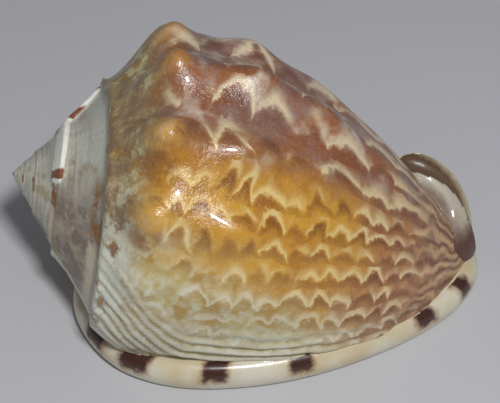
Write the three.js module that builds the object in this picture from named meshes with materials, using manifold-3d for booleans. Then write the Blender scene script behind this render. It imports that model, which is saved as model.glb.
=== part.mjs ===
// A flame-marked helmet shell, lying on its aperture: one solid piece that grew as a coil.
// Millimetres, +Z up. The table is z = 0, the spire points to -X, the rolled outer lip to -Y.
import * as THREE from "three";
import { mergeVertices } from "three/addons/utils/BufferGeometryUtils.js";
import Module from "manifold-3d";

const wasm = await Module();
wasm.setup();

const TURN = 2 * Math.PI;
const { degToRad, clamp, smoothstep, lerp, euclideanModulo } = THREE.MathUtils;

// The coiling axis: from the apex down to the anterior end
const APEX = new THREE.Vector3(-61.5, 0.5, 37);
const AXIS_DIP = degToRad(14);
const TIP_AT = 124; // where the body whorl closes on the axis, measured from the apex
const LIP_ANGLE = degToRad(117); // growth ends here; 0 is the back of the shell, +90 degrees is -Y

// The spire: a low cone whose whorls widen by the same ratio each turn
const WHORL_RATIO = 1.95;
const SUTURE_AT_LIP = 25; // distance along the axis where the last suture ends
const CONE_SLOPE = 1.29;
const CONE_FLARE = 300; // the cone flares as 1 + distance / CONE_FLARE
const PROTOCONCH_AT = 3.2; // axial reach of the smooth first whorl
const SUTURE_STEP = 0.09; // each whorl stands this share of its radius over the one before
const SPIRE_WAIST = 0.05; // and is hollowed by this share between its sutures

// The body whorl
const BODY_RADIUS = 44.5;
const SHOULDER_AT = 32;
const SHOULDER_BLEND = 13;
const FLANK_POWER = 2.2; // how late the flank bends in towards the anterior end
const LIP_RADIUS = 41.5;
const LIP_FLANK_POWER = 3; // the same at the lip, where the flank stays full
const LIP_FLANK_BLUNT = 0.66; // and closes on the axis in a blunt nose; 1 is a cone
const LIP_FLANK_FROM = degToRad(-85);
const VENTRAL_LOSS = 0.4; // the whorl is this much smaller where it lies under the parietal shield
const FULL_GROWTH = degToRad(-150); // growth angle from which the whorl has its full radius
const LIP_STEP = degToRad(8); // past the lip, the coil falls back to the whorl below within this angle
const PRESSED_AT = 2.5; // the whorl's underside is flattened at this height, over PRESSED_BLEND
const PRESSED_BLEND = 6;

// Knobs in spiral rows, in line along low axial folds
const KNOBS_PER_TURN = 14;
const KNOB_ROWS = [
  { at: 31, height: 6, reach: 5.5 },
  { at: 54, height: 3.8, reach: 8 },
  { at: 73, height: 1.8, reach: 9 },
];
const KNOB_SHARPNESS = 1.6;
const KNOBS_FROM = degToRad(-260);
const KNOBS_TALLEST = [degToRad(-120), degToRad(-100)];
const KNOBS_GONE = degToRad(-16);

// Two folds of the back, which run from a knob along the axis and fade out
const FOLDS = [
  { angle: degToRad(2), height: 3.2, fades: [62, 98] },
  { angle: degToRad(27), height: 2.2, fades: [38, 60] },
];
const FOLD_RISES = [24, 33];
const FOLD_REACH = degToRad(9);

// An old lip left on the spire as a rounded rib, which climbs to the suture at its back end
const VARIX = { at: 10.7, climb: 7, height: 2.4, reach: 1.5 };
const VARIX_FROM = degToRad(-46);
const VARIX_TO = degToRad(45);
const VARIX_CLIMB = degToRad(32);
const VARIX_ENDS = [degToRad(8), degToRad(25)];

// The aperture's rim: the rolled outer lip on -Y and the parietal shield on +Y, in one flat ring
const RIM_OUTLINE = [
  [61.5, 1], [56, -14], [38, -28], [12, -39], [-14, -42], [-33, -36.5], [-44.5, -23],
  [-47, -7], [-40, 18], [-21, 36], [4, 42], [32, 33], [53, 18],
];
const RIM_CENTRE = new THREE.Vector2(4, 0);
const LIP_THICKNESS = 8.5;
const SHIELD_THICKNESS = 4.6;
const LIP_TO_SHIELD = [-12, 18]; // the rim thins from one to the other between these two y
const RIM_ROUND = 3.4; // how far the rounded edge runs in
const RIM_FOOT = 10; // the rim rests on the table between RIM_ROUND and here
const FOOT_DEPTH = 0.5; // sunk below the table, then cut flat
const DISH_HEIGHT = 4; // the middle of the underside stands clear of the table
const RIM_MIDDLE = 10.5; // the rim's top at its centre, inside the coil

// The aperture slit and the hollow of the body whorl
const SLIT_PATH = [[-33, -5], [-15, -9], [10, -8], [36, -1], [56, 9]];
const SLIT_HALF_WIDTH = 6.8;
const SLIT_MIDDLE = 6;
const SLIT_HALF_HEIGHT = 9;
const HOLLOW_FROM = degToRad(-115);
const HOLLOW_TO = degToRad(152);
const HOLLOW_AT = 56;
const HOLLOW_HALF_LENGTH = 35;
const HOLLOW_RADIUS = 0.74; // as shares of the coil's own radius
const HOLLOW_HALF_DEPTH = 0.13;

// Teeth across both edges of the slit: on the lip, and as folds on the columella
const TEETH = [
  { count: 11, side: 1, length: 4.2, width: 1.5, from: 0.14, to: 0.88 },
  { count: 12, side: -1, length: 3.6, width: 1.2, from: 0.18, to: 0.84 },
];
const TOOTH_HEIGHT = 1.7;
const TOOTH_MIDDLE = 2.6;
const TOOTH_ROOT = 0.6; // how far a tooth's middle lies behind the slit's edge

// The siphonal canal: a gutter that bends up and back from the anterior end
const CANAL_PATH = [
  [43, 3, 3], [53.4, 3, 7.5], [55.2, 8, 13.5], [52, 12.5, 19], [46, 15.5, 22.5], [39, 18, 23.5],
];
const CANAL_BEND = new THREE.Vector3(42, 9, 7); // the gutter opens away from this point
const CANAL_TWIST = [degToRad(42), degToRad(-30)]; // and turns from facing aside to facing up
const CANAL_RADIUS = [9.6, 6.4]; // at its root and its end
const CANAL_NARROWS = [0.15, 0.6]; // between these shares of its length
const CANAL_OFFSET = -0.19; // in radii, from the path towards the body that carries its floor
const GUTTER_SHARE = 0.68; // the gutter's radius as a share of the canal's
const GUTTER_OFFSET = 0.53;
const GUTTER_FROM = 0.3; // the gutter starts at this share of the canal's length

// How squarely a tube's end closes: 2 is a round end, more is blunter
const SLIT_END = 4;
const CANAL_END = 6;
const HOLLOW_END = 8;

// Number of facets
const COLUMNS = 70; // round the axis, a whole number for each knob
const ROWS_PER_WHORL = 7;
const RIM_SIDES = 60;
const RIM_EDGE_STEPS = 7;

const bell = (x) => Math.exp(-x * x);
const blunt = (share, power) => Math.sqrt(Math.max(0, 1 - Math.pow(Math.abs(2 * share - 1), power)));

function smoothMin(a, b, reach) {
  const h = Math.max(reach - Math.abs(a - b), 0) / reach;
  return Math.min(a, b) - (h * h * h * reach) / 6;
}

// A closed solid from a geometry whose edges meet: points are merged and collapsed triangles dropped
function solidOf(geometry) {
  const bare = geometry.clone();
  bare.deleteAttribute("normal");
  bare.deleteAttribute("uv");
  const merged = mergeVertices(bare, 1e-4);
  const corners = merged.index.array;
  const kept = [];
  for (let k = 0; k < corners.length; k += 3) {
    const [a, b, c] = corners.slice(k, k + 3);
    if (a !== b && b !== c && c !== a) kept.push(a, b, c);
  }
  return new wasm.Manifold(new wasm.Mesh({
    numProp: 3,
    vertProperties: merged.attributes.position.array,
    triVerts: new Uint32Array(kept),
  }));
}

// A closed solid from a grid of points: place(i, j) for i in 0..across and j in 0..down
function skin(place, across, down) {
  const grid = new THREE.PlaneGeometry(1, 1, across, down);
  const points = grid.attributes.position;
  for (let j = 0; j <= down; j++) {
    for (let i = 0; i <= across; i++) {
      points.setXYZ(j * (across + 1) + i, ...place(i, j).toArray());
    }
  }
  return solidOf(grid);
}

// A tube with closed ends: section(share, angle) gives a point for a share of the length
function tube(section, steps, sides) {
  return skin((i, j) => section(j / steps, -TURN * (i % sides) / sides), sides, steps);
}

const curveThrough = (points) => new THREE.CatmullRomCurve3(points.map((p) => new THREE.Vector3(...p)));

const alongAxis = new THREE.Vector3(Math.cos(AXIS_DIP), 0, -Math.sin(AXIS_DIP));
const towardsBack = new THREE.Vector3(Math.sin(AXIS_DIP), 0, Math.cos(AXIS_DIP));
const towardsLip = new THREE.Vector3(0, -1, 0);

function aroundAxis(along, radius, angle) {
  return APEX.clone()
    .addScaledVector(alongAxis, along)
    .addScaledVector(towardsBack, radius * Math.cos(angle))
    .addScaledVector(towardsLip, radius * Math.sin(angle));
}

// Growth angle: 0 at the lip, -360 degrees one whorl earlier
const growthAt = (angle) => -euclideanModulo(LIP_ANGLE - angle, TURN);

// Number of whorls from the last suture's end to a place on the axis
const whorlsAt = (along) => Math.log(along / SUTURE_AT_LIP) / Math.log(WHORL_RATIO);

// The whorl's own radius as a share of the full one: small under the shield, full from the back on
function swell(growth) {
  const grown = smoothstep(growth, -TURN, FULL_GROWTH);
  const pastLip = 1 - smoothstep(growth, -TURN, -TURN + LIP_STEP);
  return 1 - VENTRAL_LOSS * (1 - Math.max(grown, pastLip));
}

function knobs(along, angle, growth) {
  const wave = Math.pow(0.5 + 0.5 * Math.cos(KNOBS_PER_TURN * angle), KNOB_SHARPNESS);
  const rising = smoothstep(growth, KNOBS_FROM, KNOBS_TALLEST[0]);
  const fading = 1 - smoothstep(growth, KNOBS_TALLEST[1], KNOBS_GONE);
  const rows = KNOB_ROWS.reduce((sum, { at, height, reach }) => sum + height * bell((along - at) / reach), 0);
  return wave * rising * fading * rows;
}

function folds(along, angle) {
  const risen = smoothstep(along, ...FOLD_RISES);
  return FOLDS.reduce((sum, fold) => {
    const faded = 1 - smoothstep(along, ...fold.fades);
    return sum + fold.height * risen * faded * bell((angle - fold.angle) / FOLD_REACH);
  }, 0);
}

function varix(along, angle) {
  const climbing = 1 - smoothstep(angle, VARIX_FROM, VARIX_FROM + VARIX_CLIMB);
  const at = VARIX.at + VARIX.climb * Math.pow(climbing, 1.5);
  const begun = smoothstep(angle, VARIX_FROM - VARIX_ENDS[0], VARIX_FROM);
  const ended = smoothstep(angle, VARIX_TO, VARIX_TO + VARIX_ENDS[1]);
  return VARIX.height * begun * (1 - ended) * bell((along - at) / VARIX.reach);
}

function spireRadius(along, growth) {
  const cone = CONE_SLOPE * along * (1 + along / CONE_FLARE);
  const whorls = whorlsAt(along) - growth / TURN;
  const sinceSuture = whorls < 0 ? euclideanModulo(whorls, 1) : Math.min(whorls, 1);
  const waist = SPIRE_WAIST * 4 * sinceSuture * (1 - sinceSuture);
  return cone * (1 + SUTURE_STEP * (0.5 - sinceSuture) - waist);
}

function flankRadius(along, growth) {
  const share = clamp((along - SHOULDER_AT) / (TIP_AT - SHOULDER_AT), 0, 1);
  const nearLip = smoothstep(growth, LIP_FLANK_FROM, 0);
  const power = lerp(FLANK_POWER, LIP_FLANK_POWER, nearLip);
  const widest = lerp(BODY_RADIUS * swell(growth), LIP_RADIUS, nearLip);
  return widest * Math.pow(1 - Math.pow(share, power), lerp(1, LIP_FLANK_BLUNT, nearLip));
}

function coilRadius(along, angle) {
  const growth = growthAt(angle);
  const signedAngle = euclideanModulo(angle + Math.PI, TURN) - Math.PI;
  const smooth = smoothMin(spireRadius(along, growth), flankRadius(along, growth), SHOULDER_BLEND);
  const raised = knobs(along, signedAngle, growth) + folds(along, signedAngle) + varix(along, signedAngle);
  return Math.max(0, smooth) + raised;
}

// The coil is a grid round the axis whose rows follow the sutures: each turn climbs by one whorl
function coil() {
  const first = whorlsAt(PROTOCONCH_AT);
  const last = whorlsAt(TIP_AT);
  const start = Math.floor(first);
  const rows = Math.ceil((last - start + 1) * ROWS_PER_WHORL);
  const place = (i, j) => {
    const turns = start + (j + 0.5) / ROWS_PER_WHORL - i / COLUMNS;
    if (turns <= first) return APEX;
    if (turns >= last) return aroundAxis(TIP_AT, 0, 0);
    const along = SUTURE_AT_LIP * Math.pow(WHORL_RATIO, turns);
    const angle = LIP_ANGLE - TURN * (i % COLUMNS) / COLUMNS;
    const point = aroundAxis(along, coilRadius(along, angle), angle);
    return point.setZ(-smoothMin(-point.z, -PRESSED_AT, PRESSED_BLEND));
  };
  return skin(place, COLUMNS, rows);
}

// The rim is a flat ring with a rounded edge, thick on the lip and thin on the shield
function rim() {
  const outline = curveThrough(RIM_OUTLINE.map(([x, y]) => [x, y, 0]));
  outline.closed = true;
  const edge = outline.getSpacedPoints(RIM_SIDES);
  const place = (i, j) => {
    const p = edge[i % RIM_SIDES];
    const inward = new THREE.Vector2(RIM_CENTRE.x - p.x, RIM_CENTRE.y - p.y);
    const reach = inward.length();
    inward.normalize();
    const thickness = lerp(LIP_THICKNESS, SHIELD_THICKNESS, smoothstep(p.y, ...LIP_TO_SHIELD));
    const turn = Math.PI * ((j - 2) / RIM_EDGE_STEPS - 0.5);
    const roundedEdge = [
      RIM_ROUND * (1 - Math.cos(turn)),
      lerp(-FOOT_DEPTH, thickness, 0.5 + 0.5 * Math.sin(turn)),
    ];
    const rings = [
      [reach, DISH_HEIGHT],
      [RIM_FOOT, -FOOT_DEPTH],
      ...Array(RIM_EDGE_STEPS + 1).fill(roundedEdge),
      [RIM_FOOT, thickness],
      [reach, RIM_MIDDLE],
    ];
    const [inset, height] = rings[j];
    return new THREE.Vector3(p.x + inward.x * inset, p.y + inward.y * inset, height);
  };
  return skin(place, RIM_SIDES, RIM_EDGE_STEPS + 4);
}

// A round section along the canal, of a share of its radius, moved towards its opening by an offset
function canalSection(offset, radiusShare, from) {
  const path = curveThrough(CANAL_PATH);
  return (length, angle) => {
    const share = lerp(from, 1, length);
    const middle = path.getPointAt(share);
    const along = path.getTangentAt(share);
    const across = new THREE.Vector3().crossVectors(along, middle.clone().sub(CANAL_BEND)).normalize();
    const outward = new THREE.Vector3().crossVectors(across, along);
    const twist = lerp(...CANAL_TWIST, share);
    const radius = lerp(...CANAL_RADIUS, smoothstep(share, ...CANAL_NARROWS));
    const r = radius * radiusShare * blunt(length, CANAL_END);
    return middle
      .addScaledVector(outward, radius * offset * Math.cos(twist) + r * Math.cos(angle))
      .addScaledVector(across, radius * offset * Math.sin(twist) + r * Math.sin(angle));
  };
}

const canal = () => tube(canalSection(CANAL_OFFSET, 1, 0), 14, 12);
const gutter = () => tube(canalSection(GUTTER_OFFSET, GUTTER_SHARE, GUTTER_FROM), 14, 10);

const slitPath = curveThrough(SLIT_PATH.map(([x, y]) => [x, y, SLIT_MIDDLE]));

function slitSection(share, angle) {
  const along = slitPath.getTangentAt(share);
  const sideways = SLIT_HALF_WIDTH * blunt(share, SLIT_END) * Math.cos(angle);
  const upwards = SLIT_HALF_HEIGHT * blunt(share, SLIT_END) * Math.sin(angle);
  return slitPath.getPointAt(share).add(new THREE.Vector3(-along.y * sideways, along.x * sideways, upwards));
}

const slit = () => tube(slitSection, 20, 12);

// The hollow of the body whorl follows the coil inside its wall and comes out at the slit
function hollowSection(share, angle) {
  const turned = lerp(HOLLOW_FROM, HOLLOW_TO, share);
  const round = blunt(share, HOLLOW_END);
  const along = HOLLOW_AT + HOLLOW_HALF_LENGTH * round * Math.cos(angle);
  const depth = HOLLOW_RADIUS + HOLLOW_HALF_DEPTH * round * Math.sin(angle);
  return aroundAxis(along, depth * coilRadius(along, turned), turned);
}

const hollow = () => tube(hollowSection, 18, 14);

function tooth(share, { side, length, width }) {
  const along = slitPath.getTangentAt(share);
  const across = new THREE.Vector3(along.y, -along.x, 0).multiplyScalar(side);
  const edge = SLIT_HALF_WIDTH * blunt(share, SLIT_END) + TOOTH_ROOT;
  const middle = slitPath.getPointAt(share).addScaledVector(across, edge);
  return solidOf(new THREE.SphereGeometry(1, 6, 4)
    .scale(length, width, TOOTH_HEIGHT)
    .rotateZ(Math.atan2(across.y, across.x))
    .translate(middle.x, middle.y, TOOTH_MIDDLE));
}

function teeth() {
  return TEETH.flatMap((row) =>
    Array.from({ length: row.count }, (_, k) => tooth(lerp(row.from, row.to, k / (row.count - 1)), row)));
}

// Everything below the table is cut away, which leaves the rim a flat foot to rest on
function underTable() {
  const [width, depth] = [200, 20];
  return solidOf(new THREE.BoxGeometry(width, width, depth).translate(0, 0, -depth / 2));
}

function geometryOf(solid) {
  const { numProp, vertProperties, triVerts } = solid.getMesh();
  const geometry = new THREE.BufferGeometry();
  const points = new THREE.InterleavedBuffer(vertProperties, numProp);
  geometry.setAttribute("position", new THREE.InterleavedBufferAttribute(points, 3, 0));
  geometry.setIndex(new THREE.BufferAttribute(triVerts, 1));
  geometry.computeVertexNormals();
  return geometry;
}

function helmetShell() {
  const grown = coil().add(rim()).add(canal());
  const opened = grown.subtract(gutter()).subtract(slit()).subtract(hollow());
  const toothed = teeth().reduce((whole, each) => whole.add(each), opened);
  const shell = new THREE.Mesh(
    geometryOf(toothed.subtract(underTable())),
    new THREE.MeshStandardMaterial({ color: 0xc9924e, roughness: 0.25, metalness: 0 }),
  );
  shell.name = "shell";
  return shell;
}

const part = new THREE.Group();
part.add(helmetShell());

export default part;
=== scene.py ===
import math

import bpy
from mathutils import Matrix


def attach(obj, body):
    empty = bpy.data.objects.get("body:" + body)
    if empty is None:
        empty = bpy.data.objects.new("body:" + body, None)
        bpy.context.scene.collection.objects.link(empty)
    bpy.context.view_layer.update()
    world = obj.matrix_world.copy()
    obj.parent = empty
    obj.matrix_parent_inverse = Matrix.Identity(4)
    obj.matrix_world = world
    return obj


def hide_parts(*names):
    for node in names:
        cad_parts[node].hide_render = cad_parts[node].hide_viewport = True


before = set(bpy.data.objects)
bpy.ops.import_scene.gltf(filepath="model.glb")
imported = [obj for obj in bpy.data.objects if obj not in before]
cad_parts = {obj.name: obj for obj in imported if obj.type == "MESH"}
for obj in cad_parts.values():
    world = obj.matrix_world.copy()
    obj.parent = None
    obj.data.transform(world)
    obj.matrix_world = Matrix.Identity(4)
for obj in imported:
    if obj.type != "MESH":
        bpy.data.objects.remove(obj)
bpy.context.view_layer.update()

# The shell. The real piece is lime, laid down by the animal as one coil about a tilted axis: a low
# spire, a body whorl with rows of knobs, a rolled lip and a thin shield round the slit, and a canal
# bent up and back. It is one piece with nothing fixed to it, and its glaze is its own outer layer.
TURN = 2 * math.pi
MM = 0.001
APEX = (-61.5, 0.5, 37.0)
AXIS_DIP = math.radians(14)
LIP_ANGLE = math.radians(117)  # growth ends here; 0 is the back, +90 degrees faces the camera
GROWTH_SIZES = {
    "Tip": 124.0,
    "Suture at lip": 25.0,
    "Whorl ratio": 1.95,
    "Cone slope": 1.29,
    "Suture step": 0.09,
    "Spire waist": 0.05,
    "Body radius": 44.5,
    "Shoulder": 32.0,
    "Shoulder blend": 13.0,
    "Lip radius": 41.5,
    "Ventral loss": 0.4,
    "Knobs per turn": 14.0,
    "Varix height": 2.6,
    "Fold height": 3.2,
    "Side fold height": 2.2,
    "Lip ridge": 0.85,
    "Growth line": 0.45,
    "Pucker": 1.4,
    "Lip thickness": 8.5,
    "Shield thickness": 4.6,
    "Lip round": 3.4,
    "Slit half width": 6.8,
    "Slit half height": 9.0,
    "Canal base radius": 9.6,
    "Canal end radius": 6.4,
    "Gutter share": 0.68,
    "Tooth height": 1.7,
}
KNOB_ROWS = [(31, 6, 5.5), (54, 3.8, 8), (73, 1.8, 9)]  # along the axis, height, reach
FOLDS = [(2, "Fold height", 62, 98), (27, "Side fold height", 38, 60)]  # degrees, size, where it fades
RIM_OUTLINE = [(61.5, 1), (56, -14), (38, -28), (12, -39), (-14, -42), (-33, -36.5), (-44.5, -23),
               (-47, -7), (-40, 18), (-21, 36), (4, 42), (32, 33), (53, 18)]
RIM_CENTRE = (4, 0)
SLIT_PATH = [(-33, -5), (-15, -9), (10, -8), (36, -1), (56, 9)]
SLIT_MIDDLE = 6
CANAL_PATH = [(43, 3, 3), (53.4, 3, 7.5), (55.2, 8, 13.5), (52, 12.5, 19), (46, 15.5, 22.5),
              (39, 18, 23.5)]
CANAL_BEND = (42, 9, 7)
TOOTH_ROWS = [(11, 1, 4.2, 1.5, 0.14, 0.88), (12, -1, 3.6, 1.2, 0.18, 0.84)]  # lip, then columella
COLUMNS = 308
DENSER_AT_LIP = 0.55
ROWS_PER_WHORL = 30
BODY_TURNS = 3.3
FIRST_AT = 0.6
COIL, RIM, CANAL, GUTTER, INSIDE, TEETH = range(6)


class Wire:
    """An output socket: arithmetic on it adds Math nodes to its tree."""

    def __init__(self, socket):
        self.socket = socket
        self.tree = socket.id_data

    @staticmethod
    def node(tree, kind, settings=None, sockets=None):
        """Any node: its settings first, then a value or a wire for each socket."""
        node = tree.nodes.new(kind)
        for name, value in (settings or {}).items():
            setattr(node, name, value)
        for key, value in (sockets or {}).items():
            socket = node.inputs[key] if isinstance(key, int) else next(
                s for s in node.inputs if s.enabled and s.name == key)
            if isinstance(value, Wire):
                tree.links.new(value.socket, socket)
            else:
                socket.default_value = value
        return node

    @classmethod
    def math(cls, operation, *values):
        tree = next(value.tree for value in values if isinstance(value, cls))
        node = cls.node(tree, "ShaderNodeMath", {"operation": operation}, dict(enumerate(values)))
        return cls(node.outputs[0])

    def __add__(self, other):
        return Wire.math("ADD", self, other)

    def __sub__(self, other):
        return Wire.math("SUBTRACT", self, other)

    def __rsub__(self, other):
        return Wire.math("SUBTRACT", other, self)

    def __mul__(self, other):
        return Wire.math("MULTIPLY", self, other)

    def __truediv__(self, other):
        return Wire.math("DIVIDE", self, other)

    def __rtruediv__(self, other):
        return Wire.math("DIVIDE", other, self)

    def __pow__(self, other):
        return Wire.math("POWER", self, other)

    def __rpow__(self, other):
        return Wire.math("POWER", other, self)

    def __mod__(self, other):
        return Wire.math("FLOORED_MODULO", self, other)

    def __neg__(self):
        return self * -1

    def __abs__(self):
        return Wire.math("ABSOLUTE", self)

    __radd__ = __add__
    __rmul__ = __mul__


def rise(value, low, high):
    """0 up to low, 1 from high on, and smooth between them."""
    node = Wire.node(value.tree, "ShaderNodeMapRange", {"interpolation_type": "SMOOTHSTEP"},
                     {"Value": value, "From Min": low, "From Max": high})
    return Wire(node.outputs["Result"])


def bell(x):
    return Wire.math("EXPONENT", -(x * x))


def sine(x):
    return Wire.math("SINE", x)


def cosine(x):
    return Wire.math("COSINE", x)


def floor_of(x):
    return Wire.math("FLOOR", x)


def between(a, b, share):
    return a + (b - a) * share


def combine(tree, x, y, z):
    return Wire(Wire.node(tree, "ShaderNodeCombineXYZ", None, {"X": x, "Y": y, "Z": z}).outputs[0])


def split(vector):
    node = Wire.node(vector.tree, "ShaderNodeSeparateXYZ", None, {"Vector": vector})
    return [Wire(output) for output in node.outputs]


def noise(vector, scale, detail=2.0, roughness=0.5):
    node = Wire.node(vector.tree, "ShaderNodeTexNoise", None,
                     {"Vector": vector, "Scale": scale, "Detail": detail, "Roughness": roughness})
    return Wire(node.outputs[0])


# The tree of the whole shell, with its sizes in millimetres as named inputs
growth_tree = bpy.data.node_groups.new("helmet_shell_growth", "GeometryNodeTree")
growth_tree.interface.new_socket("Shell", in_out="OUTPUT", socket_type="NodeSocketGeometry")
growth_sockets = {}
for name, value in GROWTH_SIZES.items():
    growth_sockets[name] = growth_tree.interface.new_socket(
        name, in_out="INPUT", socket_type="NodeSocketFloat")
group_input = Wire.node(growth_tree, "NodeGroupInput")
size = {name: Wire(group_input.outputs[name]) for name in GROWTH_SIZES}


def around_axis(along, radius, angle):
    """x, y and z of a place given along the coiling axis, out from it and round it."""
    back = radius * cosine(angle)
    x = along * math.cos(AXIS_DIP) + back * math.sin(AXIS_DIP) + APEX[0]
    y = APEX[1] - radius * sine(angle)
    z = back * math.cos(AXIS_DIP) - along * math.sin(AXIS_DIP) + APEX[2]
    return x, y, z


def whorls_at(along):
    return Wire.math("LOGARITHM", along / size["Suture at lip"], size["Whorl ratio"])


def growth_at(angle):
    """Growth angle: 0 at the lip, minus a full turn one whorl earlier."""
    return -((LIP_ANGLE - angle) % TURN)


def spire_radius(along, growth, wobble):
    cone = size["Cone slope"] * along * (1 + along / 300)
    whorls = whorls_at(along) - growth / TURN - wobble
    on_spire = Wire.math("LESS_THAN", whorls, 0)
    since = between(Wire.math("MINIMUM", whorls, 1), whorls % 1, on_spire)
    waist = size["Spire waist"] * 4 * since * (1 - since)
    return cone * (1 + size["Suture step"] * (0.5 - since) - waist)


def flank_radius(along, growth):
    grown = rise(growth, -TURN, math.radians(-150))
    past_lip = 1 - rise(growth, -TURN, -TURN + math.radians(8))
    swell = 1 - size["Ventral loss"] * (1 - Wire.math("MAXIMUM", grown, past_lip))
    share = (along - size["Shoulder"]) / (size["Tip"] - size["Shoulder"])
    share = Wire.math("MINIMUM", Wire.math("MAXIMUM", share, 0), 1)
    near_lip = Wire.math("MAXIMUM", rise(growth, math.radians(-85), 0), past_lip)
    power = between(2.2, 3.0, near_lip)
    bluntness = between(1.0, 0.66, near_lip)
    widest = between(size["Body radius"] * swell, size["Lip radius"], near_lip)
    return widest * (1 - share ** power) ** bluntness


def knobs(along, angle, growth):
    wave = (0.5 + 0.5 * cosine(angle * size["Knobs per turn"])) ** 1.6
    risen = rise(growth, math.radians(-260), math.radians(-120))
    faded = 1 - rise(growth, math.radians(-100), math.radians(-16))
    rows = sum(height * bell((along - at) / reach) for at, height, reach in KNOB_ROWS)
    reach = math.radians(9)
    folds = sum(size[name] * (1 - rise(along, low, high)) * bell((angle - math.radians(at)) / reach)
                for at, name, low, high in FOLDS)
    return wave * risen * faded * rows + rise(along, 24, 33) * folds


def varix(along, angle):
    """The rib of an old lip, which climbs to the suture at its back end."""
    climbing = 1 - rise(angle, math.radians(-46), math.radians(-14))
    begun = rise(angle, math.radians(-54), math.radians(-46))
    ended = rise(angle, math.radians(40), math.radians(54))
    return begun * (1 - ended) * bell((along - 10.7 - 7 * climbing ** 1.5) / (1.4 + 0.5 * climbing))


def suture_wobble(angle):
    """How far the suture strays, as a share of a whorl."""
    ring = combine(angle.tree, cosine(angle) * 3.4, sine(angle) * 3.4, 0)
    return (noise(ring, 1.0, 1.0) - 0.5) * 0.07


def coil_radius(along, angle):
    growth = growth_at(angle)
    signed = (angle + math.pi) % TURN - math.pi
    cone = spire_radius(along, growth, suture_wobble(angle))
    smooth = Wire.math("SMOOTH_MIN", cone, flank_radius(along, growth), size["Shoulder blend"])
    raised = knobs(along, signed, growth) + size["Varix height"] * varix(along, signed)
    return Wire.math("MAXIMUM", smooth, 0) + raised


def ridge_phase(along, growth, place):
    """Growth in degrees, bent so that the ridges of the lip turn up to the suture."""
    return growth + 24 * (1 - rise(along, 22, 50)) + 12 * (noise(place, 0.05) - 0.5)


def ridge_wave(phase):
    return 0.5 + 0.5 * sine(phase * (TURN / 5.4))


def relief(along, angle, place):
    """What the finer growth adds: ridges along the lip, growth lines, a puckered suture."""
    growth = growth_at(angle) * (360 / TURN)
    wobble = suture_wobble(angle)
    whorls = whorls_at(along) - growth / 360 - wobble
    body = rise(whorls, 0.0, 0.05)
    phase = ridge_phase(along, growth, place)
    ramp = 1 - rise(along, 27, 36)
    uneven = 0.1 + 1.8 * noise(combine(growth_tree, phase / 6, along / 40, 3), 1.0)
    ridges = ridge_wave(phase) * uneven * rise(phase, -32, -14) * (1 - rise(growth, -8, -2))
    lines = noise(combine(growth_tree, phase / 2.2, along / 22, whorls), 1.0, 3.0) - 0.5
    quiet = 1 - 0.9 * rise(phase, -60, -34)
    at_suture = bell((whorls - 0.06) / 0.06)
    swells = (noise(place, 0.07, 3.0) - 0.5) * rise(along, 20, 40)
    growth_lines = size["Growth line"] * lines * (0.3 + 0.9 * ramp) * quiet
    puckers = size["Pucker"] * at_suture * (0.2 - wobble * 22)
    return body * size["Lip ridge"] * ridges + growth_lines + puckers + 1.3 * swells


def skin(across, down, place, region, mark=None):
    """A closed sheet of points, place(i, j), whose edges meet; its faces carry their region."""
    grid = Wire.node(growth_tree, "GeometryNodeMeshGrid", None, {
        "Size X": across, "Size Y": down, "Vertices X": across + 1, "Vertices Y": down + 1})
    x, y, _ = split(Wire(Wire.node(growth_tree, "GeometryNodeInputPosition").outputs[0]))
    i, j = Wire.math("ROUND", x + across / 2), Wire.math("ROUND", y + down / 2)
    point = place(i, j)
    sheet = Wire(grid.outputs["Mesh"])
    if mark:
        sheet = Wire(Wire.node(growth_tree, "GeometryNodeStoreNamedAttribute", {"domain": "POINT"}, {
            "Geometry": sheet, "Name": "facing", "Value": mark(i, j)}).outputs[0])
    moved = Wire.node(growth_tree, "GeometryNodeSetPosition", None, {
        "Geometry": sheet,
        "Position": combine(growth_tree, *(value * MM for value in point))})
    merged = Wire.node(growth_tree, "GeometryNodeMergeByDistance", None, {
        "Geometry": Wire(moved.outputs[0]), "Distance": 2e-6})
    flipped = Wire.node(growth_tree, "GeometryNodeFlipFaces", None, {"Mesh": Wire(merged.outputs[0])})
    return with_region(Wire(flipped.outputs[0]), region)


def with_region(mesh, region):
    return Wire(Wire.node(growth_tree, "GeometryNodeStoreNamedAttribute", {"domain": "FACE"}, {
        "Geometry": mesh, "Name": "region", "Value": float(region)}).outputs[0])


def coil():
    """A grid round the axis whose rows follow the sutures: each turn climbs by one whorl."""
    ratio = math.log(GROWTH_SIZES["Whorl ratio"])
    first = math.log(FIRST_AT / GROWTH_SIZES["Suture at lip"]) / ratio
    last = BODY_TURNS * 0.996
    start = math.floor(first)
    rows = math.ceil((last - start + 1) * ROWS_PER_WHORL)

    def place(i, j):
        back = (i % COLUMNS) / COLUMNS
        back = back - DENSER_AT_LIP / TURN * sine(back * TURN)
        turns = start + (j + 0.5) / ROWS_PER_WHORL - back - floor_of(i / COLUMNS)
        on_body = Wire.math("GREATER_THAN", turns, 0)
        angle = LIP_ANGLE - back * TURN
        spire_along = size["Suture at lip"] * size["Whorl ratio"] ** (turns + suture_wobble(angle))
        body_along = size["Suture at lip"] + turns * (size["Tip"] - size["Suture at lip"]) / BODY_TURNS
        before = Wire.math("LESS_THAN", turns, first)
        after = Wire.math("GREATER_THAN", turns, last)
        inside = 1 - before - after
        along = between(spire_along, body_along, on_body) * inside + size["Tip"] * after
        clear = Wire.math("MAXIMUM", along, FIRST_AT)
        radius = coil_radius(clear, angle)
        smooth = combine(growth_tree, *around_axis(along, radius, angle))
        x, y, z = around_axis(along, (radius + relief(clear, angle, smooth)) * inside, angle)
        return x, y, Wire.math("SMOOTH_MAX", z, 2.5, 6)

    return skin(COLUMNS, rows, place, COIL)


path_objects = []


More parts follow.
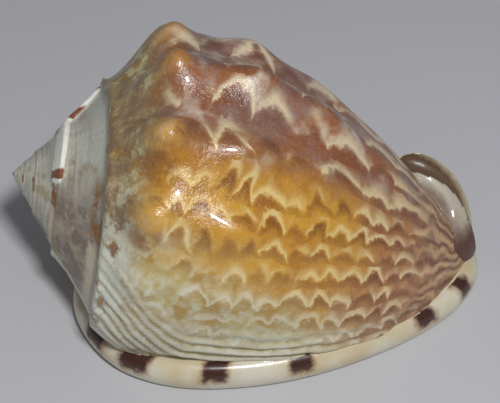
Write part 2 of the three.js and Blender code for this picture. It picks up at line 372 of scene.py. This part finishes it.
def path_through(points, closed=False):
    """A smooth curve through a few points, as a geometry in the tree."""
    curve = bpy.data.curves.new("path", "CURVE")
    curve.dimensions = "3D"
    spline = curve.splines.new("POLY")
    spline.points.add(len(points) - 1)
    for point, place in zip(spline.points, points):
        point.co = (*place, 1)
    spline.use_cyclic_u = closed
    holder = bpy.data.objects.new("path", curve)
    bpy.context.scene.collection.objects.link(holder)
    path_objects.append(holder)
    info = Wire.node(growth_tree, "GeometryNodeObjectInfo", None, {"Object": holder})
    smooth = Wire.node(growth_tree, "GeometryNodeCurveSplineType", {"spline_type": "CATMULL_ROM"},
                       {"Curve": Wire(info.outputs["Geometry"])})
    fine = Wire.node(growth_tree, "GeometryNodeSetSplineResolution", None,
                     {"Geometry": Wire(smooth.outputs[0]), "Resolution": 32})
    return Wire(fine.outputs[0])


def sample(path, share):
    """Position and direction on a path at a share of its length."""
    node = Wire.node(growth_tree, "GeometryNodeSampleCurve", {"mode": "FACTOR", "use_all_curves": True},
                     {"Curves": path, "Factor": share})
    return Wire(node.outputs["Position"]), Wire(node.outputs["Tangent"])


def length_of(x, y):
    return Wire.math("SQRT", x * x + y * y)


def rim():
    """A flat ring with a rounded edge, thick on the lip and thin on the shield."""
    sides, steps = 288, 22
    outline = path_through([(x, y, 0) for x, y in RIM_OUTLINE], closed=True)

    def place(i, j):
        x, y, _ = split(sample(outline, (i % sides) / sides)[0])
        inward_x, inward_y = RIM_CENTRE[0] - x, RIM_CENTRE[1] - y
        reach = length_of(inward_x, inward_y)
        thickness = between(size["Lip thickness"], size["Shield thickness"], rise(y, -12, 18))
        turn = Wire.math("MINIMUM", Wire.math("MAXIMUM", (j - 2) / steps, 0), 1) * math.pi - math.pi / 2
        in_edge = size["Lip round"] * (1 - cosine(turn))
        edge_height = between(-0.5, thickness, 0.5 + 0.5 * sine(turn))
        foot = Wire.math("COMPARE", j, 1, 0.1) + Wire.math("COMPARE", j, steps + 3, 0.1)
        bottom = Wire.math("COMPARE", j, 0, 0.1)
        top = Wire.math("COMPARE", j, steps + 4, 0.1)
        inset = between(between(in_edge, 10, foot), reach, bottom + top)
        height = edge_height + bottom * 4.5 + top * (10.5 - thickness)
        return x + inward_x / reach * inset, y + inward_y / reach * inset, height

    return skin(sides, steps + 4, place, RIM, lambda i, j: (j - 2) / steps)


def blunt(share, power):
    return Wire.math("SQRT", Wire.math("MAXIMUM", 1 - abs(2 * share - 1) ** power, 0))


def vector_math(operation, *vectors):
    tree = vectors[0].tree
    node = Wire.node(tree, "ShaderNodeVectorMath", {"operation": operation}, dict(enumerate(vectors)))
    return Wire(node.outputs["Vector"])


def canal_tube(offset_share, radius_share, start, region):
    """A round section along the canal, from a start on it, moved towards its opening by a share."""
    steps, sides = 64, 56
    path = path_through(CANAL_PATH)

    def round_at(i):
        return (i % sides) * (-TURN / sides)

    def share_at(j):
        return between(start, 1.0, j / steps)

    def twist_at(j):
        return between(math.radians(42), math.radians(-30), share_at(j))

    def place(i, j):
        share, angle, twist = share_at(j), round_at(i), twist_at(j)
        middle, along = sample(path, share)
        from_bend = vector_math("SUBTRACT", middle, CANAL_BEND)
        across = vector_math("NORMALIZE", vector_math("CROSS_PRODUCT", along, from_bend))
        outward = vector_math("CROSS_PRODUCT", across, along)
        width = between(size["Canal base radius"], size["Canal end radius"], rise(share, 0.15, 0.6))
        offset = width * offset_share
        r = width * radius_share * blunt(j / steps, 6)
        out = offset * cosine(twist) + r * cosine(angle)
        aside = offset * sine(twist) + r * sine(angle)
        parts = zip(split(middle), split(outward), split(across))
        return [m + o * out + a * aside for m, o, a in parts]

    return skin(sides, steps, place, region, lambda i, j: cosine(round_at(i) - twist_at(j)))


slit_path = path_through([(x, y, SLIT_MIDDLE) for x, y in SLIT_PATH])


def slit():
    steps, sides = 64, 32

    def place(i, j):
        share = j / steps
        angle = (i % sides) * (-TURN / sides)
        middle, along = sample(slit_path, share)
        x, y, z = split(middle)
        along_x, along_y, _ = split(along)
        sideways = size["Slit half width"] * blunt(share, 4) * cosine(angle)
        upwards = size["Slit half height"] * blunt(share, 4) * sine(angle)
        return x - along_y * sideways, y + along_x * sideways, z + upwards

    return skin(sides, steps, place, INSIDE)


def hollow():
    """The room inside the body whorl, which follows the coil and comes out at the slit."""
    steps, sides = 72, 40

    def place(i, j):
        share = j / steps
        angle = (i % sides) * (-TURN / sides)
        turned = between(math.radians(-115), math.radians(152), share)
        roundness = blunt(share, 8)
        along = 56 + 35 * roundness * cosine(angle)
        depth = 0.74 + 0.13 * roundness * sine(angle)
        return around_axis(along, depth * coil_radius(along, turned), turned)

    return skin(sides, steps, place, INSIDE)


def teeth(count, side, length, width, start, end):
    """A row of rounded teeth along one edge of the slit."""
    points = Wire.node(growth_tree, "GeometryNodePoints", None, {"Count": count})
    index = Wire(Wire.node(growth_tree, "GeometryNodeInputIndex").outputs[0])
    share = between(start, end, index / (count - 1))
    middle, along = sample(slit_path, share)
    x, y, _ = split(middle)
    along_x, along_y, _ = split(along)
    across_x, across_y = along_y * side, -along_x * side
    edge = size["Slit half width"] * blunt(share, 4) + 0.6
    placed = Wire.node(growth_tree, "GeometryNodeSetPosition", None, {
        "Geometry": Wire(points.outputs[0]),
        "Position": combine(growth_tree, (x + across_x * edge) * MM, (y + across_y * edge) * MM, 2.6 * MM)})
    ball = Wire.node(growth_tree, "GeometryNodeMeshUVSphere", None, {
        "Segments": 20, "Rings": 12, "Radius": MM})
    row = Wire.node(growth_tree, "GeometryNodeInstanceOnPoints", None, {
        "Points": Wire(placed.outputs[0]),
        "Instance": Wire(ball.outputs["Mesh"]),
        "Rotation": combine(growth_tree, 0, 0, Wire.math("ARCTAN2", across_y, across_x)),
        "Scale": combine(growth_tree, length, width, size["Tooth height"])})
    return with_region(Wire(Wire.node(growth_tree, "GeometryNodeRealizeInstances", None, {
        "Geometry": Wire(row.outputs[0])}).outputs[0]), TEETH)


def joined(*meshes):
    node = Wire.node(growth_tree, "GeometryNodeMeshBoolean", {"operation": "UNION", "solver": "MANIFOLD"})
    for mesh in meshes:
        growth_tree.links.new(mesh.socket, node.inputs["Mesh 2"])
    return Wire(node.outputs[0])


def cut(whole, *tools):
    node = Wire.node(growth_tree, "GeometryNodeMeshBoolean",
                     {"operation": "DIFFERENCE", "solver": "MANIFOLD"}, {"Mesh 1": whole})
    for tool in tools:
        growth_tree.links.new(tool.socket, node.inputs["Mesh 2"])
    return Wire(node.outputs[0])


under_table = Wire.node(growth_tree, "GeometryNodeMeshCube", None, {"Size": (0.2, 0.2, 0.02)})
lowered = Wire.node(growth_tree, "GeometryNodeTransform", None, {
    "Geometry": Wire(under_table.outputs["Mesh"]), "Translation": (0, 0, -0.01)})
grown = joined(coil(), rim(), canal_tube(-0.19, 1.0, 0.0, CANAL))
opened = cut(grown, canal_tube(0.53, size["Gutter share"], 0.3, GUTTER), slit(), hollow())
toothed = joined(opened, *(teeth(*row) for row in TOOTH_ROWS))
resting = cut(toothed, with_region(Wire(lowered.outputs[0]), RIM))
glaze = bpy.data.materials.new("shell_glaze")
sealed = Wire.node(growth_tree, "GeometryNodeMergeByDistance", None, {
    "Geometry": resting, "Distance": 1e-6})
smooth = Wire.node(growth_tree, "GeometryNodeSetShadeSmooth", {"domain": "FACE"}, {
    "Geometry": Wire(sealed.outputs[0])})
whole = Wire.node(growth_tree, "GeometryNodeRealizeInstances", None, {"Geometry": Wire(smooth.outputs[0])})
finished = Wire.node(growth_tree, "GeometryNodeSetMaterial", None, {
    "Geometry": Wire(whole.outputs[0]), "Material": glaze})
Wire.node(growth_tree, "NodeGroupOutput", None, {"Shell": Wire(finished.outputs[0])})

seed = bpy.data.objects.new("seed", bpy.data.meshes.new("seed"))
bpy.context.scene.collection.objects.link(seed)
growing = seed.modifiers.new("growth", "NODES")
growing.node_group = growth_tree
for name, value in GROWTH_SIZES.items():
    growing[growth_sockets[name].identifier] = value
shell_mesh = bpy.data.meshes.new_from_object(seed.evaluated_get(bpy.context.evaluated_depsgraph_get()))
shell = bpy.data.objects.new("helmet_shell", shell_mesh)
bpy.context.scene.collection.objects.link(shell)
seed.modifiers.remove(growing)
for spent in [seed, *path_objects]:
    bpy.data.objects.remove(spent)
shell_mesh.name = "helmet_shell"
shell_mesh.materials.clear()
shell_mesh.materials.append(glaze)
shell_mesh.polygons.foreach_set("material_index", [0] * len(shell_mesh.polygons))


def srgb(code):
    values = [int(code[k:k + 2], 16) / 255 for k in (1, 3, 5)]
    return tuple(v / 12.92 if v <= 0.04045 else ((v + 0.055) / 1.055) ** 2.4 for v in values) + (1.0,)


def blend(share, under, over):
    """One colour laid over another, as far as the share says."""
    node = Wire.node(share.tree, "ShaderNodeMix", {"data_type": "RGBA", "clamp_factor": True},
                     {"Factor": share, "A": srgb(under) if isinstance(under, str) else under,
                      "B": srgb(over) if isinstance(over, str) else over})
    return Wire(next(s for s in node.outputs if s.enabled))


# The glaze. Flames run in rows along the axis, each row a line of cream arches over brown that fades
# into honey; the ramp, the spire, the rib of the old lip, the lip and the canal have their own colours.
glaze.use_nodes = True
paint = glaze.node_tree
surface = next(node for node in paint.nodes if node.type == "BSDF_PRINCIPLED")
place = Wire(Wire.node(paint, "ShaderNodeTexCoord").outputs["Object"])
millimetres = Wire(Wire.node(paint, "ShaderNodeVectorMath", {"operation": "SCALE"},
                             {"Vector": place, "Scale": 1000.0}).outputs[0])
px, py, pz = split(millimetres)
along = (px - APEX[0]) * math.cos(AXIS_DIP) - (pz - APEX[2]) * math.sin(AXIS_DIP)
backward = (px - APEX[0]) * math.sin(AXIS_DIP) + (pz - APEX[2]) * math.cos(AXIS_DIP)
angle = Wire.math("ARCTAN2", APEX[1] - py, backward)
growth = -((LIP_ANGLE - angle) % TURN) * (360 / TURN)
whorls = Wire.math("LOGARITHM", Wire.math("MAXIMUM", along, 0.3) / 25, 1.95) - growth / 360
growth = growth + 360 * Wire.math("LESS_THAN", growth, -345)
region = Wire(Wire.node(paint, "ShaderNodeAttribute", {"attribute_name": "region"}).outputs["Fac"])


def white(x, y):
    node = Wire.node(paint, "ShaderNodeTexWhiteNoise", {"noise_dimensions": "2D"},
                     {"Vector": combine(paint, x, y, 0)})
    return Wire(node.outputs["Value"])


def in_region(kind):
    return Wire.math("COMPARE", region, float(kind), 0.4)


def shifted(x, y, z):
    return combine(paint, px + x, py + y, pz + z)


wander = noise(millimetres, 0.07, 2.0)
sway = noise(shifted(40, 0, 0), 0.06, 2.0)
patch = noise(shifted(0, 70, 0), 0.075, 3.0)
shows = noise(shifted(0, 0, 90), 0.13, 2.0)
mottle = noise(millimetres, 0.45, 4.0, 0.6)
fine = noise(shifted(9, 0, 0), 1.3, 3.0, 0.65)

# Where the body is: its back, its middle, the strip along the lip and the narrow front end. The back gets
# redder colours of its own, also darkened as painted shade
shaded_back = 1 - rise(growth + 30 * (patch - 0.5), -100, -80)
near_lip = rise(growth + 26 * (patch - 0.5) - 0.6 * (along - 60), -62, -30)
forward = rise(along + 26 * (patch - 0.5), 72, 98)

# Rows of arches: growth gives the row, the place along the axis gives the arch in it
drift = growth + 11 * (wander - 0.5) + 5 * (mottle - 0.5)
row = Wire.math("MAXIMUM", drift, -80) / 9.4 + Wire.math("MINIMUM", drift + 80, 0) / 14
line_of = floor_of(row)
step = row - line_of
wide = Wire.math("LESS_THAN", line_of, -9)
run = (along + 14 * (sway - 0.5) + 1.5 * (mottle - 0.5)) / (6.2 + 4.3 * wide) + 10 * white(line_of, 3.7)
arch_of = floor_of(run)
own = white(line_of, arch_of)
other = white(arch_of + 31, line_of)
hump = (0.5 - 0.5 * cosine((run - arch_of) * TURN)) ** 0.55
crest = 0.7 - hump * (0.24 + 0.4 * own) + 0.2 * (other - 0.5)
below = step - crest
above_crest = bell(Wire.math("MINIMUM", below, 0) / (0.22 + 0.14 * forward))
broken = rise(shows + 0.5 * (other - 0.5) + 0.12 * forward, 0.3, 0.62)
crest_line = above_crest * (1 - rise(below, -0.03, 0.15)) * broken
under_crest = rise(below, -0.02, 0.3) * (1 - rise(below, 0.25, 0.85)) * (0.45 + 0.55 * own)
under_crest = under_crest * (0.3 + 0.7 * hump) * (1 - 0.4 * near_lip)

honey = blend(rise(patch + 0.4 * (mottle - 0.5), 0.4, 0.62), "#c59130", "#ad7320")
pale = blend(rise(mottle, 0.35, 0.65), "#c2be9f", "#b6a669")
golden = rise(shows + 0.4 * (mottle - 0.5), 0.5, 0.62) * (1 - rise(growth, -34, -16))
pale = blend(golden * 0.8, pale, "#a9853c")
# ground of the back: redder browns, partly its own colour and partly darkened as painted shade
shaded_back_ground = blend(rise(patch + 0.5 * (mottle - 0.5), 0.38, 0.62), "#945a36", "#8a6a60")
chestnut = blend(rise(mottle, 0.35, 0.65), "#ab7745", "#93603f")
ground = blend(forward, honey, chestnut)
ground = blend(near_lip * (1 - 0.7 * forward), ground, pale)
ground = blend(shaded_back, ground, shaded_back_ground)
brown = blend(forward, "#7f4a12", "#683624")
brown = blend(near_lip * (1 - forward), brown, "#a98b4e")
# browns of the back, darker as painted shade
brown = blend(shaded_back, brown, "#6e3f29")
cream = blend(shaded_back, "#dcc27e", "#d6c4a4")
cream = blend(near_lip, blend(forward, cream, "#d9c397"), "#dcdac8")
flank = blend(under_crest, ground, brown)
bleached = shaded_back * rise(noise(shifted(0, 0, 50), 0.1, 4.0), 0.5, 0.66)
flank = blend(bleached * (1 - under_crest), flank, "#c4b3a4")
flank = blend(crest_line * (0.95 - 0.35 * near_lip), flank, cream)
fan = 0.5 + 0.5 * sine((growth + 60 * (wander - 0.5) + 24 * (shows - 0.5)) * (TURN / 15))
flank = blend(rise(along + 14 * (shows - 0.5), 96, 112) * 0.8, flank, blend(fan, "#683c2c", "#c09a72"))

# Ridges along the lip: chalky crests with tan grooves, browner towards the front
phase = ridge_phase(along, growth, millimetres)
ridged = rise(phase, -32, -14)
groove = (1 - ridge_wave(phase)) ** 2 * ridged
flank = blend((1 - groove) * ridged * 0.7 * (1 - forward), flank, "#cfd0c2")
flank = blend(groove * 0.6 * rise(shows + mottle, 0.75, 1.1), flank, blend(forward, "#94804f", "#7d4e30"))

# The ramp from the suture to the shoulder: blotches of brown, olive and cream, chalky low down
clouds = noise(shifted(15, 9, 0), 0.12, 4.0, 0.6)
blotch = noise(shifted(0, 33, 12), 0.2, 4.0, 0.65)
streak = noise(combine(paint, phase / 2.4, along / 13, 0), 1.0, 4.0, 0.65)
ramp = blend(rise(blotch + 0.5 * (streak - 0.5), 0.38, 0.62), "#846a52", "#a18b60")
ramp = blend(rise(clouds, 0.47, 0.6) * 0.85, ramp, "#9c7636")
ramp = blend(rise(blotch + 0.7 * (clouds - 0.5), 0.54, 0.66), ramp, "#bcb58a")
chalk = rise(phase, -66, -20)
ramp = blend(chalk * rise(blotch + 0.5 * (clouds - 0.5) + 0.16 * chalk, 0.5, 0.66), ramp, "#cbccbd")
on_ramp = 1 - rise(along + 9 * (clouds - 0.5), 27, 34)
body_colour = blend(on_ramp, flank, ramp)

# Knobs of the shoulder: honey tops, with a painted shadow in rust brown beside each knob on the side
# towards the lip
crown = bell((along - 32) / 5.5) * (1 - rise(growth, -60, -40))
knob_top = rise(crown * (0.5 + 0.5 * cosine(angle * 14)) ** 1.6, 0.3, 0.7)
painted_knob_shadow = rise(crown * (0.5 + 0.5 * cosine(angle * 14 - 2.1)) ** 1.6, 0.35, 0.8)
warmth = rise(mottle + clouds, 0.7, 1.15) * (0.35 + 0.5 * rise(growth, -112, -96))
# painted shadow beside each knob, in rust brown
body_colour = blend(painted_knob_shadow * 0.8 * rise(blotch, 0.35, 0.6), body_colour, "#84501f")
body_colour = blend(knob_top * warmth, body_colour, "#cb9a45")

# The spire: grey and pinkish bands round it, browner low down, with rust and cream along each suture
whorls = whorls - suture_wobble(angle)
since = whorls % 1
bands = noise(combine(paint, whorls * 9, growth / 90, 0), 1.0, 3.0)
low_down = rise(growth + 40 * (clouds - 0.5), -92, -48)
spire = blend(rise(bands + 0.5 * (blotch - 0.5), 0.35, 0.65), "#a8a298", "#c0bfb4")
spire = blend(rise(since + 0.5 * (clouds - 0.5), 0.5, 0.85), spire, "#bfc2b6")
dusk = blend(rise(clouds, 0.45, 0.55), "#87776c", "#a39683")
dusk = blend(rise(blotch + 0.4 * (mottle - 0.5), 0.44, 0.56), "#6f5b4b", dusk)
spire = blend(low_down * rise(whorls, -1.02, -0.98) * 0.85, spire, dusk)
spire = blend(rise(clouds + 0.5 * (mottle - 0.5), 0.54, 0.66) * 0.7, spire, "#988964")
at_edge = rise(since + 0.3 * (blotch - 0.5), 0.76, 0.88)
rusty = at_edge * rise(growth, -78, -66) * rise(clouds + 0.5 * (blotch - 0.5), 0.42, 0.55)
spire = blend(rusty, spire, "#85531f")
spire = blend(at_edge * rise(growth + 20 * (blotch - 0.5), -48, -36), spire, "#cfc3ac")
spire = blend(rise(fine, 0.5, 0.7) * 0.35, spire, "#877d6e")
on_spire = 1 - rise(whorls, -0.006, 0.006)
colour = blend(on_spire, body_colour, spire)
pucker = bell((whorls - 0.07) / 0.06) * rise(-suture_wobble(angle), 0.0, 0.012)
colour = blend(pucker * rise(growth, -75, -45) * 0.85, colour, "#cfd0c5")
colour = blend(bell(whorls / 0.012) * 0.5 * rise(blotch, 0.35, 0.55), colour, "#54463a")
colour = blend(on_spire * bell((since - 0.5) / 0.03 - 16.3) * 0.4, colour, "#6d6256")

# The rib of the old lip: white, with a few brown spots
rib = varix(along, angle)
rib_on = rise(rib, 0.32, 0.5) * on_spire
degrees = angle * (360 / TURN)
rib_spots = bell((degrees + 27) / 5) + bell((degrees - 39) / 5) + 0.8 * bell((degrees + 44) / 4)
rib_spots = rise(rib_spots + 0.8 * (mottle - 0.5) + 0.5 * (fine - 0.5), 0.35, 0.65)
colour = blend(rib_on, colour, blend(rib_spots, "#ecebe3", "#7d4520"))

# The rim: ivory, with dark bars across the lip
facing = Wire(Wire.node(paint, "ShaderNodeAttribute", {"attribute_name": "facing"}).outputs["Fac"])
round_rim = Wire.math("ARCTAN2", py - RIM_CENTRE[1], px - RIM_CENTRE[0]) * (360 / TURN)
lip_bars = [(-147, 4.5), (-132.3, 5), (-107.7, 4.6), (-76.8, 5), (-28.3, 4), (-12.6, 3)]
ragged = 3.4 * (noise(millimetres, 0.4, 3.0) - 0.5) + 1.5 * (fine - 0.5)
bar = sum(1 - rise(abs(round_rim - at + ragged), half - 1.8, half + 1.4) for at, half in lip_bars)
bar = bar * rise(facing + 0.3 * (mottle - 0.5), 0.4, 0.62)
ivory = blend(rise(patch, 0.35, 0.65), "#d3cebc", "#c8b995")
stain = blend(rise(bar + 0.3 * (mottle - 0.5), 0.55, 1.0), "#7d4424", "#40231a")
lip_colour = blend(bar, ivory, stain)
colour = blend(in_region(RIM), colour, lip_colour)
colour = blend(in_region(TEETH), colour, "#efe7d2")

# The canal: a pale rim over a pinkish wall, brown at its root and inside
wall = blend(rise(facing + 0.5 * (mottle - 0.5), 0.1, 0.6), "#7f6c5d", "#aaa190")
root = 1 - rise(pz + 5 * (patch - 0.5) + 2 * (mottle - 0.5), 13, 18)
colour = blend(in_region(CANAL), colour, blend(root, wall, "#563b31"))
gutter = blend(rise(facing + 0.3 * (mottle - 0.5), -0.45, 0.0), "#5e4733", "#b0a38b")
colour = blend(in_region(GUTTER), colour, gutter)
colour = blend(in_region(INSIDE), colour, blend(rise(patch, 0.4, 0.6), "#c99d72", "#dcbd97"))
colour = blend(rise(fine, 0.45, 0.75) * 0.09 * in_region(COIL), colour, "#f2e6cc")

# Gloss: a hard glaze over fine grain, duller on the spire
grain = noise(millimetres, 0.95, 3.0, 0.65) * (1 - 0.85 * rise(region, 0.2, 0.4))
height = grain + 0.8 * (streak - 0.5) * on_ramp + 0.5 * (fine - 0.5) * on_spire
bump = Wire.node(paint, "ShaderNodeBump", None, {"Strength": 0.4, "Distance": 0.0006, "Height": height})
paint.links.new(colour.socket, surface.inputs["Base Color"])
gloss = 0.2 + 0.2 * in_region(CANAL) + 0.14 * mottle + 0.16 * on_spire * (1 - rib_on) + 0.1 * on_ramp
paint.links.new(gloss.socket, surface.inputs["Roughness"])
paint.links.new(bump.outputs[0], surface.inputs["Normal"])
surface.inputs["Coat Weight"].default_value = 0.3
surface.inputs["Coat Roughness"].default_value = 0.06

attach(shell, "root")
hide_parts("shell")

# The floor: a plain pale grey sheet of card on a table, wide enough to fill every view.
# It is not part of the shell, which only rests on it.
floor_mesh = bpy.data.meshes.new("floor")
floor_mesh.from_pydata([(-4, -4, 0), (4, -4, 0), (4, 4, 0), (-4, 4, 0)], [], [(0, 1, 2, 3)])
floor_sheet = bpy.data.objects.new("floor", floor_mesh)
bpy.context.scene.collection.objects.link(floor_sheet)
card = bpy.data.materials.new("floor_card")
card.use_nodes = True
card_surface = next(node for node in card.node_tree.nodes if node.type == "BSDF_PRINCIPLED")
card_surface.inputs["Base Color"].default_value = srgb("#bfbfc3")
card_surface.inputs["Roughness"].default_value = 0.7
floor_mesh.materials.append(card)

# The light: a small soft box over the camera and to the right, which gives the short shadow under
# the lip, and a pale room round it.
key = bpy.data.lights.new("key", "AREA")
key.energy = 3.0
key.size = 0.08
key_light = bpy.data.objects.new("key", key)
key_light.location = (0.1, -0.34, 0.55)
key_light.rotation_euler = (math.radians(34), 0, math.radians(16))
bpy.context.scene.collection.objects.link(key_light)
room = bpy.data.worlds.new("room")
room.use_nodes = True
room.node_tree.nodes["Background"].inputs["Color"].default_value = (0.94, 0.97, 1.0, 1)
room.node_tree.nodes["Background"].inputs["Strength"].default_value = 0.18
bpy.context.scene.world = room
bpy.context.scene.view_settings.view_transform = "Standard"

# The camera: in front of the lip and 45 degrees up, as far off as the photograph's perspective says.
# Its lens fits 130 mm into the picture's width at that distance.
camera_data = bpy.data.cameras.new("camera")
camera_data.sensor_width = 36
camera_data.lens = 36 * 420 / 130
camera = bpy.data.objects.new("camera", camera_data)
aim = (-0.00026, -0.00138, 0.0286)
away = 0.42
tilt = math.radians(45)
camera.location = (aim[0], aim[1] - away * math.cos(tilt), aim[2] + away * math.sin(tilt))
camera.rotation_euler = (math.pi / 2 - tilt, 0, 0)
bpy.context.scene.collection.objects.link(camera)
bpy.context.scene.camera = camera
